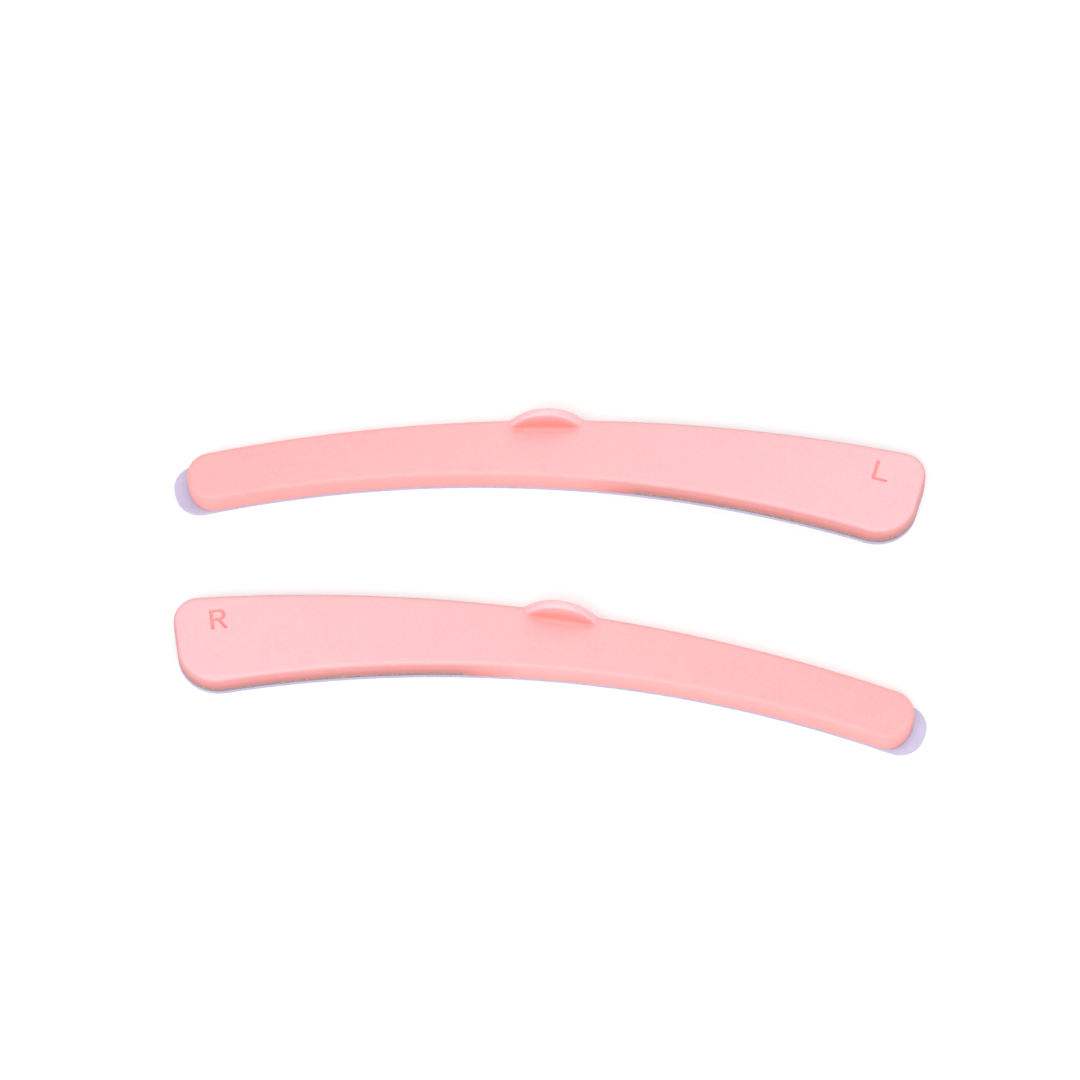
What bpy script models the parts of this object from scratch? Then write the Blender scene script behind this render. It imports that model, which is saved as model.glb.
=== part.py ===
"""A pair of soft lash-curling strips, one for each eye, lying flat side by side.

Each strip is an arched silicone moulding with a narrow tip, a wide end, a half-moon thumb fin on
its outer edge and a sunk side letter. An adhesive patch sits in a step under its wide half, and a
clear release film covers its whole underside and reaches past the narrow tip as a peel tab.

Metres, +Z up, the films on z = 0. A strip's own frame has X along its chord from the narrow tip
to the wide end and +Y towards its outer, convex edge. The right strip is the left one mirrored
in X. Plan points are complex numbers, x + y*1j.
"""

import cmath
import math

import bmesh
import bpy

MM = 0.001

# Plan of a strip: two long arcs between two straight ends with rounded corners.
STRIP_LENGTH = 35.6 * MM  # between the middles of the two ends, along the chord
ARCH_RADIUS = 70.0 * MM  # of the middle line, which the ends stand square to
OUTER_RADIUS = 80.5 * MM
INNER_RADIUS = 60.4 * MM
NARROW_WIDTH = 2.72 * MM
WIDE_WIDTH = 4.9 * MM
TIP_CORNER = 1.22 * MM
WIDE_OUTER_CORNER = 1.3 * MM
WIDE_INNER_CORNER = 2.0 * MM

# Heights
STRIP_THICKNESS = 1.22 * MM
TOP_ROUND = 0.3 * MM
UNDER_ROUND = 0.1 * MM
FILM_THICKNESS = 0.14 * MM
PATCH_THICKNESS = 0.2 * MM
LAYER_GAP = 0.04 * MM  # between two layers that lie on each other

# Adhesive patch: it ends in a cut across the strip, nearer the wide end on the inner edge.
PATCH_OUTER_REACH = 17.0 * MM  # from the wide end to the cut, at the outer edge
PATCH_INNER_REACH = 12.5 * MM  # the same at the inner edge
PATCH_INSET = 0.05 * MM

# Release film
FILM_TAB = 0.7 * MM  # past the narrow tip
FILM_INSET = 0.02 * MM

# Thumb fin: half an ellipse standing on the face, along the outer edge.
FIN_LENGTH = 3.6 * MM
FIN_HEIGHT = 1.35 * MM
FIN_THICKNESS = 0.5 * MM
FIN_EDGE_INSET = 0.06 * MM
FIN_SHIFT = 0.4 * MM  # from mid-length towards the narrow tip
FIN_ROOT = 0.35 * MM
FIN_ROUND = 0.2 * MM

# Sunk side letter
LETTER_HEIGHT = 1.1 * MM
LETTER_WIDTH = 0.78 * MM
LETTER_STROKE = 0.15 * MM
LETTER_DEPTH = 0.12 * MM
LETTER_FROM_END = 2.15 * MM
LETTER_FROM_OUTER_EDGE = 1.45 * MM

# Where the two strips lie: the middle of each chord, and its turn about Z.
STRIP_SPACING = 10.4 * MM
STRIP_SIDE_STEP = 0.5 * MM  # the right strip lies this far towards -X
LEFT_TURN = math.radians(-1.7)
RIGHT_TURN = math.radians(-6.8)

LONG_ARC_STEPS = 28
CORNER_STEPS = 8
FIN_STEPS = 20
BOWL_STEPS = 8
ROUND_SEGMENTS = 3

FILM_TOP = FILM_THICKNESS
STRIP_FLOOR = FILM_TOP + LAYER_GAP
STRIP_TOP = STRIP_FLOOR + STRIP_THICKNESS
PATCH_TOP = STRIP_FLOOR + PATCH_THICKNESS
PATCH_POCKET_TOP = PATCH_TOP + LAYER_GAP
CUTTER_MARGIN = 1.0 * MM  # how far a cutter runs past what it cuts


def clear_scene():
    for leftover in list(bpy.data.objects):
        bpy.data.objects.remove(leftover, do_unlink=True)


def material(name, colour, roughness, metallic=0.0, alpha=1.0):
    made = bpy.data.materials.new(name)
    made.use_nodes = True
    shader = made.node_tree.nodes["Principled BSDF"]
    shader.inputs["Base Color"].default_value = (*colour, 1.0)
    shader.inputs["Roughness"].default_value = roughness
    shader.inputs["Metallic"].default_value = metallic
    shader.inputs["Alpha"].default_value = alpha
    return made


# --- Plan geometry ------------------------------------------------------------------------------


def arc(centre, start, end, steps):
    """Points round centre from start towards end, the short way, without the end itself."""
    turn = cmath.phase((end - centre) / (start - centre))
    return [centre + (start - centre) * cmath.rect(1.0, turn * i / steps) for i in range(steps)]


def unit(vector):
    return vector / abs(vector)


def end_frames():
    """Middle point and outward direction of the narrow end, then of the wide end."""
    slant = math.asin(STRIP_LENGTH / 2 / ARCH_RADIUS)
    narrow = (complex(-STRIP_LENGTH / 2, 0.0), -cmath.rect(1.0, slant))
    wide = (complex(STRIP_LENGTH / 2, 0.0), cmath.rect(1.0, -slant))
    return narrow, wide


def outer_side(outward):
    """Unit vector along an end, towards the convex edge."""
    across = outward * 1j
    return across if across.imag > 0 else -across


def long_edge_centre(side, radius):
    """Centre of the long edge that runs between the corners on this side (+1 outer, -1 inner)."""
    (narrow, narrow_out), (wide, wide_out) = end_frames()
    first = narrow + side * outer_side(narrow_out) * NARROW_WIDTH / 2
    last = wide + side * outer_side(wide_out) * WIDE_WIDTH / 2
    half = abs(last - first) / 2
    return (first + last) / 2 - 1j * unit(last - first) * math.sqrt(radius**2 - half**2)


def corner(edge_centre, edge_radius, side, end_point, outward, radius):
    """Centre of a rounded corner, its touching point on the long edge and that on the end."""
    along = outer_side(outward)
    start = end_point - outward * radius
    away = start - edge_centre
    reach = edge_radius - side * radius
    middle = (away * along.conjugate()).real
    centre = start + along * (math.sqrt(middle**2 - abs(away) ** 2 + reach**2) - middle)
    on_edge = centre + side * radius * unit(centre - edge_centre)
    return centre, on_edge, centre + outward * radius


def strip_outline(inset=0.0, tab=0.0):
    """Plan outline of a strip, moved in by inset, with its narrow end moved out by tab."""
    (narrow, narrow_out), (wide, wide_out) = end_frames()
    narrow += narrow_out * (tab - inset)
    wide -= wide_out * inset
    outer = long_edge_centre(+1, OUTER_RADIUS)
    inner = long_edge_centre(-1, INNER_RADIUS)
    outer_radius = OUTER_RADIUS - inset
    inner_radius = INNER_RADIUS + inset
    tip = min(TIP_CORNER, 0.48 * NARROW_WIDTH) - inset
    wide_outer = min(WIDE_OUTER_CORNER, 0.45 * WIDE_WIDTH) - inset
    wide_inner = min(WIDE_INNER_CORNER, 0.45 * WIDE_WIDTH) - inset
    a, a_edge, a_end = corner(inner, inner_radius, -1, wide, wide_out, wide_inner)
    b, b_edge, b_end = corner(outer, outer_radius, +1, wide, wide_out, wide_outer)
    c, c_edge, c_end = corner(outer, outer_radius, +1, narrow, narrow_out, tip)
    d, d_edge, d_end = corner(inner, inner_radius, -1, narrow, narrow_out, tip)
    points = arc(a, a_edge, a_end, CORNER_STEPS) + [a_end]
    points += arc(b, b_end, b_edge, CORNER_STEPS)
    points += arc(outer, b_edge, c_edge, LONG_ARC_STEPS)
    points += arc(c, c_edge, c_end, CORNER_STEPS) + [c_end]
    points += arc(d, d_end, d_edge, CORNER_STEPS)
    points += arc(inner, d_edge, a_edge, LONG_ARC_STEPS)
    return points


def outer_edge_frame(x):
    """Point of the convex edge at this x, and the unit vector along it towards the wide end."""
    centre = long_edge_centre(+1, OUTER_RADIUS)
    across = x - centre.real
    point = centre + complex(across, math.sqrt(OUTER_RADIUS**2 - across**2))
    return point, -1j * unit(point - centre)


def stroke(points, width):
    """Outline of a flat stroke of this width along the points."""
    left = []
    right = []
    for i, point in enumerate(points):
        before = unit(point - points[i - 1]) if i else unit(points[1] - point)
        after = unit(points[i + 1] - point) if i + 1 < len(points) else before
        mitre = unit(before + after) * 1j
        reach = width / 2 / (mitre * (before * 1j).conjugate()).real
        left.append(point + mitre * reach)
        right.append(point - mitre * reach)
    return right + left[::-1]


def letter_strokes(letter):
    """Centre lines of a plain letter in a box centred on 0, LETTER_WIDTH by LETTER_HEIGHT."""
    right = (LETTER_WIDTH - LETTER_STROKE) / 2
    top = (LETTER_HEIGHT - LETTER_STROKE) / 2
    if letter == "L":
        return [[complex(-right, top), complex(-right, -top), complex(right, -top)]]
    bowl = top / 2
    middle = complex(right - bowl, top - bowl)
    turn = [middle + cmath.rect(bowl, math.pi / 2 - math.pi * i / BOWL_STEPS) for i in range(BOWL_STEPS + 1)]
    stem = [complex(-right, -top), complex(-right, top)]
    loop = [complex(-right, top), *turn, complex(-right, top - 2 * bowl)]
    leg = [complex(0.0, top - 2 * bowl), complex(right, -top)]
    return [stem, loop, leg]


# --- Solids -------------------------------------------------------------------------------------


def new_object(name, bm):
    bmesh.ops.recalc_face_normals(bm, faces=bm.faces)
    mesh = bpy.data.meshes.new(name)
    bm.to_mesh(mesh)
    bm.free()
    made = bpy.data.objects.new(name, mesh)
    bpy.context.scene.collection.objects.link(made)
    return made


def prism(name, side, outline, low, high, top_weight=0.0, low_weight=0.0):
    """Upright solid on a plan outline, its top and bottom rims weighted for a Bevel."""
    bm = bmesh.new()
    floor = bm.faces.new([bm.verts.new((side * p.real, p.imag, low)) for p in outline])
    raised = bmesh.ops.extrude_face_region(bm, geom=[floor])["geom"]
    bmesh.ops.translate(
        bm,
        vec=(0.0, 0.0, high - low),
        verts=[part for part in raised if isinstance(part, bmesh.types.BMVert)],
    )
    weights = bm.edges.layers.float.new("bevel_weight_edge")
    middle = (low + high) / 2
    for edge in bm.edges:
        heights = [vert.co.z for vert in edge.verts]
        if min(heights) > middle:
            edge[weights] = top_weight
        elif max(heights) < middle:
            edge[weights] = low_weight
    return new_object(name, bm)


def round_edges(target, width):
    bevel = target.modifiers.new("round_edges", "BEVEL")
    bevel.width = width
    bevel.segments = ROUND_SEGMENTS
    bevel.limit_method = "WEIGHT"
    bevel.use_clamp_overlap = False


def combine(target, helper, operation, name):
    """Join a helper to the target, or cut it away, and keep the helper out of the model."""
    helper.hide_render = True
    helper.display_type = "WIRE"
    boolean = target.modifiers.new(name, "BOOLEAN")
    boolean.operation = operation
    boolean.object = helper


def fin(name, side):
    """Thumb fin: a parabolic arch standing along the convex edge, with rounded rims."""
    foot, along = outer_edge_frame(-FIN_SHIFT)
    foot -= along * 1j * (FIN_EDGE_INSET + FIN_THICKNESS / 2)
    half = FIN_LENGTH / 2
    angles = [math.pi * i / FIN_STEPS for i in range(FIN_STEPS + 1)]
    profile = [(half * math.cos(angle), FIN_HEIGHT * math.sin(angle) ** 2) for angle in angles]
    profile += [(-half, -FIN_ROOT), (half, -FIN_ROOT)]
    bm = bmesh.new()
    verts = []
    for reach, height in profile:
        point = foot + along * reach - along * 1j * FIN_THICKNESS / 2
        verts.append(bm.verts.new((side * point.real, point.imag, STRIP_TOP + height)))
    wall = bm.faces.new(verts)
    raised = bmesh.ops.extrude_face_region(bm, geom=[wall])["geom"]
    shift = along * 1j * FIN_THICKNESS
    bmesh.ops.translate(
        bm,
        vec=(side * shift.real, shift.imag, 0.0),
        verts=[part for part in raised if isinstance(part, bmesh.types.BMVert)],
    )
    weights = bm.edges.layers.float.new("bevel_weight_edge")
    for face in bm.faces:
        if len(face.verts) > 4:
            for edge in face.edges:
                edge[weights] = float(max(vert.co.z for vert in edge.verts) > STRIP_TOP)
    made = new_object(name, bm)
    round_edges(made, FIN_ROUND)
    return made


def letter_cutters(prefix, side, letter):
    """One cutter for each stroke of the side letter, sunk LETTER_DEPTH into the face."""
    _, (wide, wide_out) = end_frames()
    up = outer_side(wide_out)
    centre = wide + up * (WIDE_WIDTH / 2 - LETTER_FROM_OUTER_EDGE) - wide_out * LETTER_FROM_END
    for i, line in enumerate(letter_strokes(letter)):
        flat = [complex(side * point.real, point.imag) for point in stroke(line, LETTER_STROKE)]
        outline = [centre + wide_out * point.real + up * point.imag for point in flat]
        low = STRIP_TOP - LETTER_DEPTH
        yield prism(f"{prefix}_letter_{i}", side, outline, low, STRIP_TOP + CUTTER_MARGIN)


def patch_region(reach_change, overshoot):
    """Plan area of the wide half: from the slanted cut to past the wide end."""
    _, (wide, wide_out) = end_frames()
    up = outer_side(wide_out)
    far = wide + wide_out * overshoot
    outer_cut, _ = outer_edge_frame(STRIP_LENGTH / 2 - PATCH_OUTER_REACH - reach_change)
    inner_x = STRIP_LENGTH / 2 - PATCH_INNER_REACH - reach_change
    inner_cut = complex(inner_x, outer_edge_frame(inner_x)[0].imag - WIDE_WIDTH)
    cut = unit(outer_cut - inner_cut)
    wide_side = up * WIDE_WIDTH
    return [
        inner_cut - cut * overshoot,
        far - wide_side - up * overshoot,
        far + wide_side + up * overshoot,
        outer_cut + cut * (overshoot + WIDE_WIDTH),
    ]


def silicone_strip(prefix, side, letter, finish):
    made = prism(
        f"{prefix}_silicone_strip",
        side,
        strip_outline(),
        STRIP_FLOOR,
        STRIP_TOP,
        top_weight=1.0,
        low_weight=UNDER_ROUND / TOP_ROUND,
    )
    round_edges(made, TOP_ROUND)
    combine(made, fin(f"{prefix}_fin", side), "UNION", "thumb_fin")
    for i, cutter in enumerate(letter_cutters(prefix, side, letter)):
        combine(made, cutter, "DIFFERENCE", f"letter_stroke_{i}")
    pocket = prism(
        f"{prefix}_pocket",
        side,
        patch_region(LAYER_GAP, CUTTER_MARGIN),
        STRIP_FLOOR - CUTTER_MARGIN,
        PATCH_POCKET_TOP,
    )
    combine(made, pocket, "DIFFERENCE", "patch_step")
    made.data.materials.append(finish)
    return made


def adhesive_patch(prefix, side, finish):
    made = prism(f"{prefix}_adhesive_patch", side, strip_outline(PATCH_INSET), STRIP_FLOOR, PATCH_TOP)
    area = prism(
        f"{prefix}_patch_area",
        side,
        patch_region(0.0, CUTTER_MARGIN),
        STRIP_FLOOR - CUTTER_MARGIN,
        PATCH_TOP + CUTTER_MARGIN,
    )
    combine(made, area, "INTERSECT", "slanted_cut")
    made.data.materials.append(finish)
    return made


def release_film(prefix, side, finish):
    made = prism(f"{prefix}_release_film", side, strip_outline(FILM_INSET, FILM_TAB), 0.0, FILM_TOP)
    made.data.materials.append(finish)
    return made


# --- Assembly -----------------------------------------------------------------------------------


def frame_empty(name, place, turn):
    empty = bpy.data.objects.new(name, None)
    bpy.context.scene.collection.objects.link(empty)
    empty.location = (place.real, place.imag, 0.0)
    empty.rotation_euler = (0.0, 0.0, turn)
    return empty


def placed_outline(side, place, turn):
    """Plan points of one strip's film and strip where they lie."""
    points = strip_outline() + strip_outline(FILM_INSET, FILM_TAB)
    return [place + cmath.rect(1.0, turn) * complex(side * p.real, p.imag) for p in points]


def layout():
    """Place of each strip's frame, with the middle of the whole pair on the origin."""
    left = complex(0.0, 0.0)
    right = complex(-STRIP_SIDE_STEP, -STRIP_SPACING)
    points = placed_outline(+1, left, LEFT_TURN) + placed_outline(-1, right, RIGHT_TURN)
    xs = [point.real for point in points]
    ys = [point.imag for point in points]
    middle = complex(min(xs) + max(xs), min(ys) + max(ys)) / 2
    return left - middle, right - middle


def shade(made):
    made.data.shade_smooth()
    made.data.set_sharp_from_angle(angle=math.radians(35))


def main():
    clear_scene()
    silicone = material("pink_silicone", (1.0, 0.54, 0.56), 0.5)
    adhesive = material("grey_adhesive", (0.36, 0.29, 0.29), 0.8)
    film = material("clear_film", (0.66, 0.62, 0.78), 0.25, alpha=0.6)
    left_place, right_place = layout()
    strips = (
        ("left", +1, "L", left_place, LEFT_TURN),
        ("right", -1, "R", right_place, RIGHT_TURN),
    )
    for prefix, side, letter, place, turn in strips:
        frame = frame_empty(f"{prefix}_frame", place, turn)
        made = [
            silicone_strip(prefix, side, letter, silicone),
            adhesive_patch(prefix, side, adhesive),
            release_film(prefix, side, film),
        ]
        for piece in made:
            shade(piece)
        for piece in bpy.data.objects:
            if piece.name.startswith(prefix) and piece is not frame:
                piece.parent = frame


main()
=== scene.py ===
"""The looks of a pair of soft lash-curling strips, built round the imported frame.

Every surface is a grid of sections. A section crosses a strip from its convex (outer) edge to its
concave (inner) edge, and its two ends run along the strip's rounded plan outline. Plan points are
complex numbers, x + y*1j, in the strip's own frame: X along its chord from the narrow tip to the
wide end, Y towards the outer edge. The right strip is the left one mirrored in X.
"""

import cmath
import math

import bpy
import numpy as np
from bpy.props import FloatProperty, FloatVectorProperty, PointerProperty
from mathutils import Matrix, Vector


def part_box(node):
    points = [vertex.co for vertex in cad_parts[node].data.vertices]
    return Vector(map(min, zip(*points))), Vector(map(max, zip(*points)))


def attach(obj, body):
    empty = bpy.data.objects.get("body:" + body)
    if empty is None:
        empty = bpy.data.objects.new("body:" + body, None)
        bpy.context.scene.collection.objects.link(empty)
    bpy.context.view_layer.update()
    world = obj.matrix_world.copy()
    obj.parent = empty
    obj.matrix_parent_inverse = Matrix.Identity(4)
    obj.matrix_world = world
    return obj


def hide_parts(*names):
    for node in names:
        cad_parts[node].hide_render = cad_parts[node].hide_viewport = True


bl_info = {
    "name": "Lash Curling Strips",
    "version": (1, 0, 0),
    "blender": (4, 5, 0),
    "location": "View3D > Sidebar > Lash Strips",
    "description": "Builds a left and right pair of silicone lash-curling strips",
    "category": "Add Mesh",
}

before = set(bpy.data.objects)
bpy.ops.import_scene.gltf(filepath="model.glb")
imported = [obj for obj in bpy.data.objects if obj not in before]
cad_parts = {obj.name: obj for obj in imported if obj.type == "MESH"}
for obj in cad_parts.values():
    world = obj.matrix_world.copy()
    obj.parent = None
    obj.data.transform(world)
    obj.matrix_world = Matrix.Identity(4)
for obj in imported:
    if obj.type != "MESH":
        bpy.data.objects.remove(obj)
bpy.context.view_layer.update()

MM = 0.001
# Each strip's letter, and +1 where its own X is the drawn one or -1 where it is mirrored.
SIDES = {"left": (+1, "L"), "right": (-1, "R")}

# Heights that the CAD's layers set.
FILM_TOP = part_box("left_release_film")[1].z
STRIP_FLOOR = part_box("left_silicone_strip")[0].z
PATCH_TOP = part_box("left_adhesive_patch")[1].z
FIN_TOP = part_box("left_silicone_strip")[1].z


def length_property(name, description, default):
    return FloatProperty(
        name=name,
        description=description,
        default=default,
        unit="LENGTH",
        subtype="DISTANCE",
        precision=5,
    )


def colour_property(name, description, default):
    return FloatVectorProperty(
        name=name, description=description, default=default, subtype="COLOR", size=3, min=0, max=1
    )


class LashStripShape(bpy.types.PropertyGroup):
    """Plan and section of a silicone strip."""

    length: length_property("Length", "Between the middles of the two ends", 35.6 * MM)
    arch_radius: length_property("Arch", "Radius of the middle line", 70.0 * MM)
    outer_radius: length_property("Outer Edge", "Radius of the convex edge", 80.5 * MM)
    inner_radius: length_property("Inner Edge", "Radius of the concave edge", 60.4 * MM)
    narrow_width: length_property("Narrow Width", "Width at the tip", 2.72 * MM)
    wide_width: length_property("Wide Width", "Width at the wide end", 4.9 * MM)
    tip_corner: length_property("Tip Corners", "Corner radius at the tip", 1.22 * MM)
    wide_outer: length_property("Wide Outer Corner", "Corner radius on the convex side", 1.3 * MM)
    wide_inner: length_property("Wide Inner Corner", "Corner radius on the concave side", 2.0 * MM)
    top_round: length_property("Top Round", "Radius of the face's rim", 0.3 * MM)
    under_round: length_property("Under Round", "Radius of the lower rim", 0.1 * MM)
    crown: length_property("Crown", "Rise of the face at its middle", 0.03 * MM)


class LashFinShape(bpy.types.PropertyGroup):
    """Thumb fin: a parabolic arch along the convex edge, filleted into the face."""

    length: length_property("Length", "Along the edge, without its tails", 3.6 * MM)
    height: length_property("Height", "Above the face", 1.35 * MM)
    thickness: length_property("Thickness", "Across, at the foot", 0.5 * MM)
    edge_inset: length_property("Inset", "From the convex edge", 0.06 * MM)
    shift: length_property("Shift", "From mid-length towards the tip", 0.4 * MM)
    draft: length_property("Draft", "How far each wall leans in", 0.03 * MM)
    rim: length_property("Rim", "Radius of the rim", 0.19 * MM)
    foot: length_property("Foot", "Radius of the fillet on the face", 0.26 * MM)
    tail: length_property("Tail", "How far the arch runs out past each end", 0.2 * MM)


class LashLetterShape(bpy.types.PropertyGroup):
    """Sunk side letter near the wide end."""

    height: length_property("Height", "Height of the letter", 1.1 * MM)
    width: length_property("Width", "Width of the letter", 0.78 * MM)
    stroke: length_property("Stroke", "Width of a stroke", 0.17 * MM)
    depth: length_property("Depth", "Depth of a stroke", 0.11 * MM)
    from_end: length_property("From End", "From the wide end to the letter", 2.15 * MM)
    from_edge: length_property("From Edge", "From the convex edge to the letter", 1.45 * MM)


class LashLayerShape(bpy.types.PropertyGroup):
    """Adhesive patch and release film below a strip."""

    # The peel tab past the narrow tip shows the film's lavender painted shadow.
    film_tab: length_property("Peel Tab", "Film past the narrow tip", 0.7 * MM)
    film_inset: length_property("Film Inset", "From the strip's outline", 0.02 * MM)
    patch_inset: length_property("Patch Inset", "From the strip's outline", 0.05 * MM)
    patch_outer: length_property("Patch Outer", "Wide end to the cut, outer edge", 17.0 * MM)
    patch_inner: length_property("Patch Inner", "Wide end to the cut, inner edge", 12.5 * MM)
    gap: length_property("Gap", "Between two layers", 0.04 * MM)
    seat: length_property("Seat", "How far a layer fills the gap above it", 0.03 * MM)
    edge_round: length_property("Edge Round", "Radius of a layer's edges", 0.02 * MM)


class LashFinish(bpy.types.PropertyGroup):
    """Colours, as linear values."""

    tip: colour_property("Tip", "Silicone near the narrow tip", (0.86, 0.39, 0.39))
    wide: colour_property("Wide End", "Silicone near the wide end", (0.86, 0.465, 0.49))
    # The walls carry painted shade; on the wide half it is darker, where a dark ground bounces less
    # light.
    wall: colour_property("Wall", "Silicone on the side walls", (0.85, 0.33, 0.315))
    wide_wall_painted_shade: colour_property("Deep Wall", "Side wall of the wide half", (0.52, 0.165, 0.145))
    # Painted shade, laid in the fin's foot and in the letter's strokes.
    foot: colour_property("Foot", "Silicone in the fin's foot and the letter", (0.84, 0.27, 0.23))
    # Painted highlight along the fin's rim.
    rim: colour_property("Fin Rim", "Silicone along the fin's rim", (0.86, 0.53, 0.56))
    # The film's lavender is painted shadow of the strip on a pale floor, seen past the tip.
    film: colour_property("Film", "Release film", (0.56, 0.52, 0.70))
    # The patch's grey-brown is painted shadow on a dark ground, seen along the strip's edge.
    patch: colour_property("Patch", "Adhesive patch", (0.24, 0.18, 0.185))
    patch_speck: colour_property("Speckle", "Pale specks of the patch", (0.42, 0.35, 0.36))


class LashStage(bpy.types.PropertyGroup):
    """Where the strips lie, the camera and the light."""

    left_turn: FloatProperty(
        name="Left Turn",
        description="Turn of the left strip about Z",
        default=math.radians(-1.7),
        subtype="ANGLE",
    )
    right_turn: FloatProperty(
        name="Right Turn",
        description="Turn of the right strip about Z",
        default=math.radians(-6.8),
        subtype="ANGLE",
    )
    elevation: FloatProperty(
        name="Elevation",
        description="Camera's height over the floor, seen from the strips",
        default=math.radians(63),
        subtype="ANGLE",
    )
    view_width: length_property("View Width", "Width that the camera frames", 52.43 * MM)
    aim_side: length_property("Aim Side", "Framing, sideways from the origin", -0.46 * MM)
    aim_up: length_property("Aim Up", "Framing, up from the origin", 2.52 * MM)
    lens: FloatProperty(
        name="Lens",
        description="Focal length",
        default=250.0,
        min=1.0,
        subtype="DISTANCE_CAMERA",
    )
    key_level: FloatProperty(
        name="Key",
        description="Light of the key lamp: a matt white face turned to it shows this value",
        default=0.8,
        min=0.0,
    )
    world_level: FloatProperty(
        name="World",
        description="World strength, where the camera doesn't see it",
        default=0.65,
        min=0.0,
    )


# --- Plan geometry ------------------------------------------------------------------------------

# The most that a corner's radius may be, as a share of the strip's width there.
MOST_WIDE_CORNER = 0.45
MOST_TIP_CORNER = 0.48


def unit(vector):
    """The vector at length 1."""
    return vector / abs(vector)


def outer_side(outward):
    """Unit vector along an end, towards the convex edge."""
    across = outward * 1j
    return across if across.imag > 0 else -across


def end_frames(shape):
    """Middle point and outward direction of the narrow end, then of the wide end."""
    slant = math.asin(shape.length / 2 / shape.arch_radius)
    narrow = (complex(-shape.length / 2, 0.0), -cmath.rect(1.0, slant))
    wide = (complex(shape.length / 2, 0.0), cmath.rect(1.0, -slant))
    return narrow, wide


def edge_circle(shape, side):
    """Centre and radius of the long edge on this side, +1 outer and -1 inner."""
    (narrow, narrow_out), (wide, wide_out) = end_frames(shape)
    radius = shape.outer_radius if side > 0 else shape.inner_radius
    first = narrow + side * outer_side(narrow_out) * shape.narrow_width / 2
    last = wide + side * outer_side(wide_out) * shape.wide_width / 2
    half = abs(last - first) / 2
    drop = 1j * unit(last - first) * math.sqrt(radius**2 - half**2)
    return (first + last) / 2 - drop, radius


def corner(shape, side, wide_end, inset, tab):
    """Centre of a rounded corner, its radius, and its touching points on the long edge and end."""
    (narrow, narrow_out), (wide, wide_out) = end_frames(shape)
    if wide_end:
        point, outward = wide - wide_out * inset, wide_out
        radius = shape.wide_outer if side > 0 else shape.wide_inner
        radius = min(radius, MOST_WIDE_CORNER * shape.wide_width) - inset
    else:
        point, outward = narrow + narrow_out * (tab - inset), narrow_out
        radius = min(shape.tip_corner, MOST_TIP_CORNER * shape.narrow_width) - inset
    edge_centre, edge_radius = edge_circle(shape, side)
    along = outer_side(outward)
    start = point - outward * radius
    away = start - edge_centre
    reach = edge_radius - side * (inset + radius)
    middle = (away * along.conjugate()).real
    centre = start + along * (math.sqrt(middle**2 - abs(away) ** 2 + reach**2) - middle)
    on_edge = centre + side * radius * unit(centre - edge_centre)
    return centre, radius, on_edge, centre + outward * radius


def arc(centre, start, end, shares):
    """Points at these shares of the arc from start to end round centre, the short way."""
    turn = cmath.phase((end - centre) / (start - centre))
    return centre + (start - centre) * np.exp(1j * turn * np.asarray(shares))


def side_line(shape, side, stations, inset=0.0, tab=0.0, first=0.0):
    """One long side as a line of points: tip corner, long arc, wide corner.

    stations holds the shares of each stretch. With first above 0 the line starts that share
    along the long arc, and has no tip corner.
    """
    tip, along, wide = stations
    edge_centre, _ = edge_circle(shape, side)
    tip_centre, _, tip_edge, tip_end = corner(shape, side, False, inset, tab)
    wide_centre, _, wide_edge, wide_end = corner(shape, side, True, inset, tab)
    stretches = [arc(edge_centre, tip_edge, wide_edge, first + (1 - first) * along)]
    stretches.append(arc(wide_centre, wide_edge, wide_end, wide))
    if len(tip):
        stretches.insert(0, arc(tip_centre, tip_end, tip_edge, tip))
    return np.concatenate(stretches)


def edge_depth(shape, points):
    """Distance of plan points to the outline, from inside, true up to the smallest corner.

    Near a corner of radius r, with a and b the distances to the long edge and the end, it is
    r - hypot(max(r - a, 0), max(r - b, 0)); the least of the four corners' values holds.
    """
    (narrow, narrow_out), (wide, wide_out) = end_frames(shape)
    depths = []
    for side in (+1, -1):
        centre, radius = edge_circle(shape, side)
        to_edge = side * (radius - np.abs(points - centre))
        for wide_end, end, outward in ((False, narrow, narrow_out), (True, wide, wide_out)):
            to_end = ((end - points) * np.conj(outward)).real
            _, rounding, _, _ = corner(shape, side, wide_end, 0.0, 0.0)
            past = np.hypot(np.maximum(rounding - to_edge, 0), np.maximum(rounding - to_end, 0))
            depths.append(rounding - past)
    return np.min(depths, axis=0)


def smooth(values, low, high):
    """0 below low, 1 above high, and 3t^2 - 2t^3 between."""
    share = np.clip((values - low) / (high - low), 0.0, 1.0)
    return share * share * (3 - 2 * share)


# --- Meshes -------------------------------------------------------------------------------------


def rim_loop(rows, columns):
    """Indices round the rim of a rows x columns grid, once, without repeats."""
    index = np.arange(rows * columns).reshape(rows, columns)
    return np.concatenate([index[:, 0], index[-1, 1:-1], index[::-1, -1], index[0, -2:0:-1]])


def grid_quads(rows, columns, offset, flipped):
    """Four corners of each cell of a rows x columns grid whose first point has index offset."""
    index = np.arange(rows * columns).reshape(rows, columns) + offset
    quads = np.stack([index[:-1, :-1], index[:-1, 1:], index[1:, 1:], index[1:, :-1]], axis=-1)
    quads = quads.reshape(-1, 4)
    return quads[:, ::-1] if flipped else quads


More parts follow.
